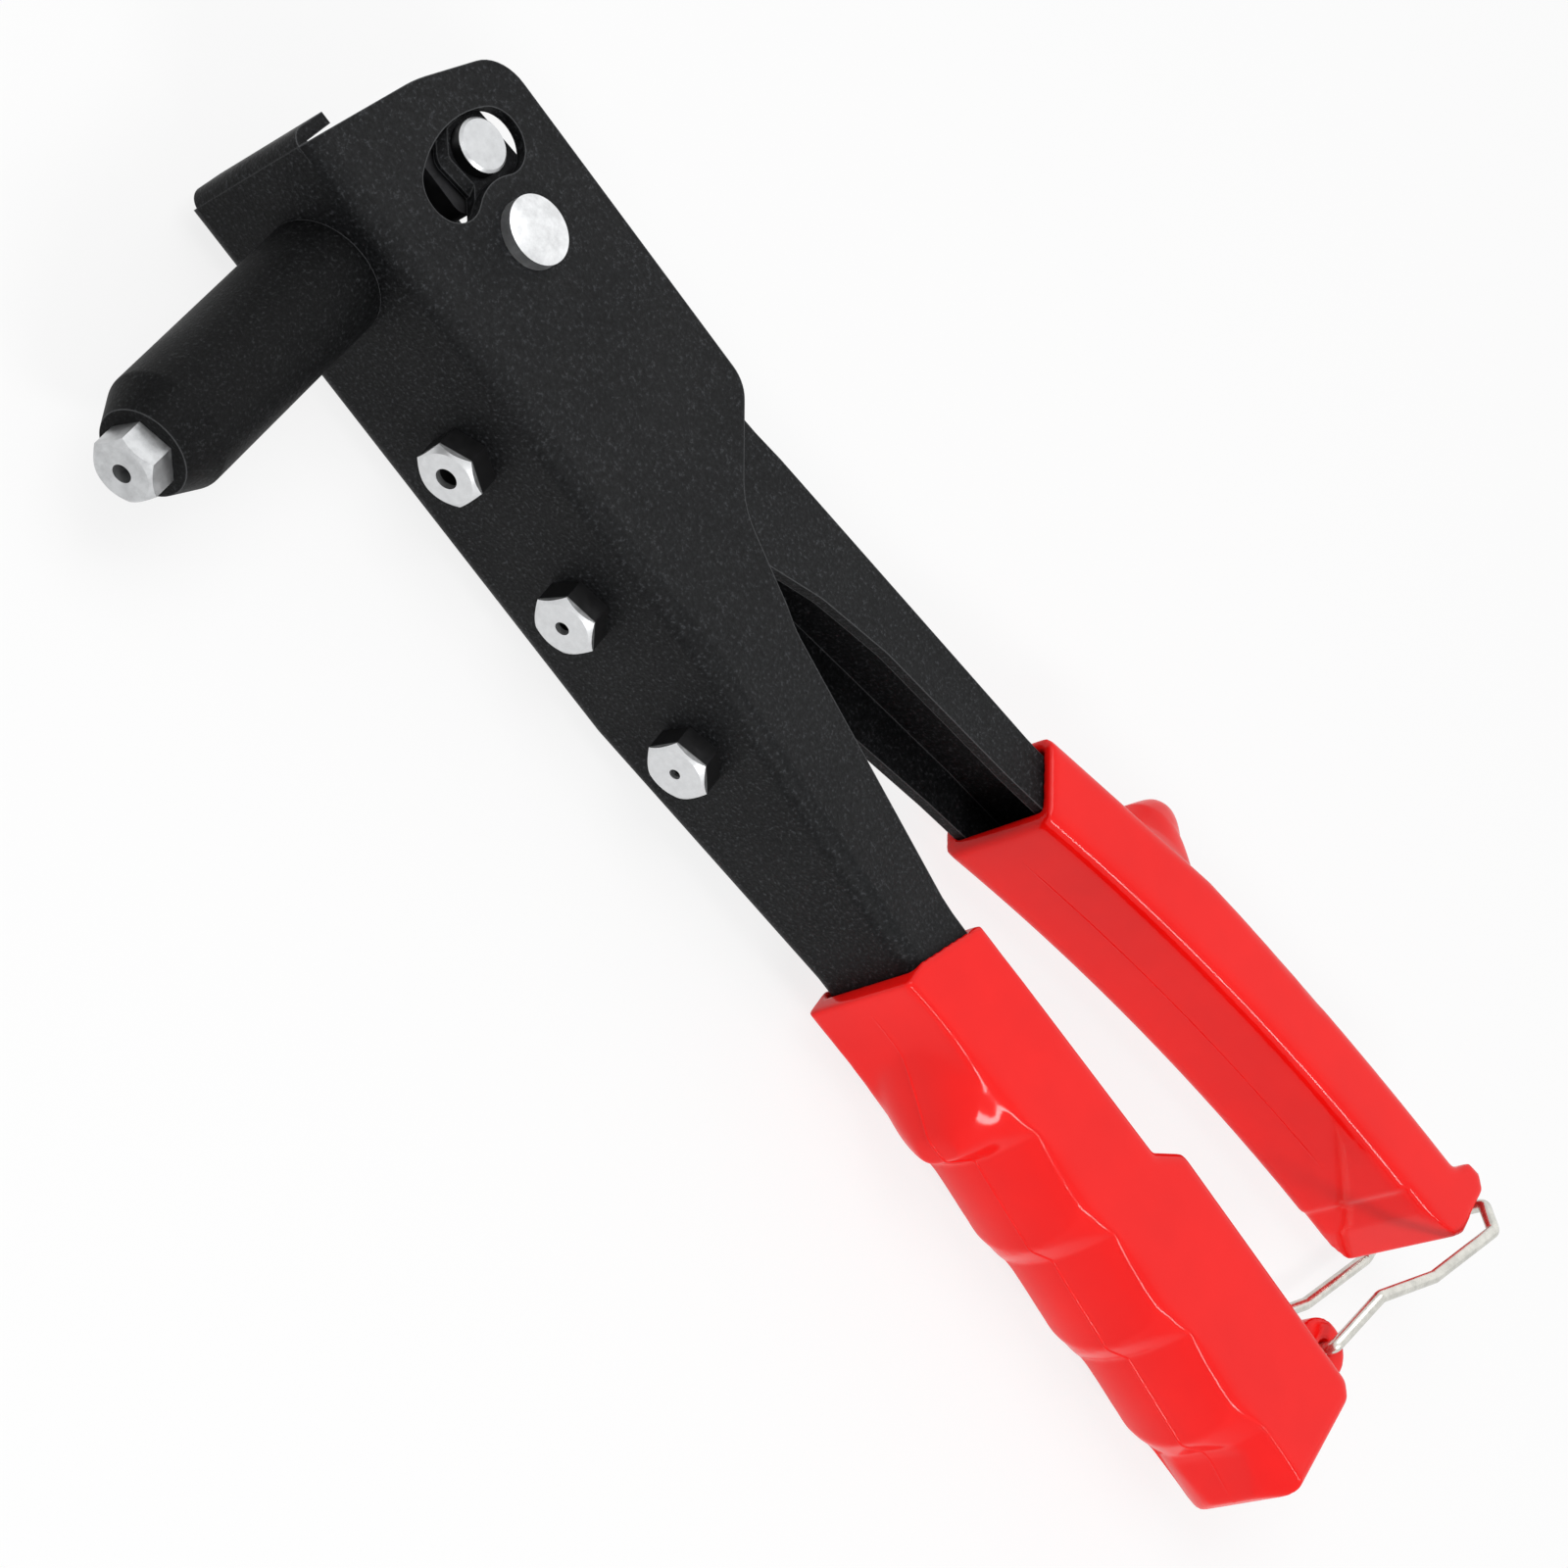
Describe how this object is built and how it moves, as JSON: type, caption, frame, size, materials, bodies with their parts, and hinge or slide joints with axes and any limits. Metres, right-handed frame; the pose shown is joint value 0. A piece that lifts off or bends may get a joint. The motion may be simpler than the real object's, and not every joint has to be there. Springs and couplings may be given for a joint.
{
  "type": "hand riveter",
  "caption": "Lever-operated blind rivet setter with a round nose barrel, interchangeable hexagonal nosepieces, sleeved handles and a wire latch.",
  "frame": {"origin": "centre of the mounted nosepiece's front face, on the mandrel axis", "axes": "+X out of the nose along the mandrel axis, +Y towards the handle ends, +Z the normal of the near side plate; the tool lies on its side"},
  "size_m": [0.1243, 0.269, 0.036],
  "materials": {
    "black_paint": "fine textured black powder coat",
    "black_barrel": "satin black",
    "bright_steel": "bright zinc plate",
    "dark_steel": "oiled, blackened steel",
    "jaw_steel": "hardened, ground",
    "spring_steel": "plated spring wire",
    "red_grip": "glossy moulded vinyl"
  },
  "bodies": {
    "frame": {"body_frame": "black_paint", "fixed_grip": "red_grip", "pivot_pin": "bright_steel", "nose_barrel": "black_barrel", "barrel_lock_nut": "dark_steel", "nosepiece_mounted": "bright_steel", "nosepiece_spare_1": "bright_steel", "nosepiece_spare_2": "bright_steel", "nosepiece_spare_3": "bright_steel"},
    "lever": {"lever_arm": "black_paint", "lever_grip": "red_grip", "link_pin": "bright_steel"},
    "carrier": {"pull_yoke": "dark_steel", "jaw_case": "dark_steel", "case_lock_nut": "dark_steel", "jaw_spring": "spring_steel"},
    "pusher": {"jaw_pusher": "dark_steel"},
    "upper_jaw": {"jaw_upper": "jaw_steel"},
    "lower_jaw": {"jaw_lower": "jaw_steel"},
    "bail": {"latch_bail": "spring_steel"}
  },
  "joints": [
    {"name": "lever_pivot", "type": "hinge", "parent": "frame", "child": "lever", "pos_m": [-0.0738, 0.0137, 0], "axis": [0, 0, 1], "range_deg": [-6, 36]},
    {"name": "carrier_slide", "type": "slide", "parent": "frame", "child": "carrier", "axis": [1, 0, 0], "range_m": [-0.00149, 0.0089]},
    {"name": "pusher_slide", "type": "slide", "parent": "carrier", "child": "pusher", "axis": [-1, 0, 0], "range_m": [0, 0.0025], "stiffness_N_per_m": 600, "springref_m": -0.002, "deforming": ["jaw_spring"]},
    {"name": "upper_jaw_slide", "type": "slide", "parent": "carrier", "child": "upper_jaw", "axis": [-0.9766, 0.2149, 0], "range_m": [0, 0.00256]},
    {"name": "lower_jaw_slide", "type": "slide", "parent": "carrier", "child": "lower_jaw", "axis": [-0.9766, -0.2149, 0], "range_m": [0, 0.00256]},
    {"name": "bail_swing", "type": "hinge", "parent": "frame", "child": "bail", "pos_m": [-0.0742, 0.2348, 0], "axis": [0, 0, -1], "range_deg": [0, 80]}
  ],
  "couplings": [
    {"joint": "carrier_slide", "follows": "lever_pivot", "m_per_rad": 0.01415},
    {"joint": "upper_jaw_slide", "follows": "pusher_slide", "ratio": 1.0239},
    {"joint": "lower_jaw_slide", "follows": "pusher_slide", "ratio": 1.0239}
  ]
}
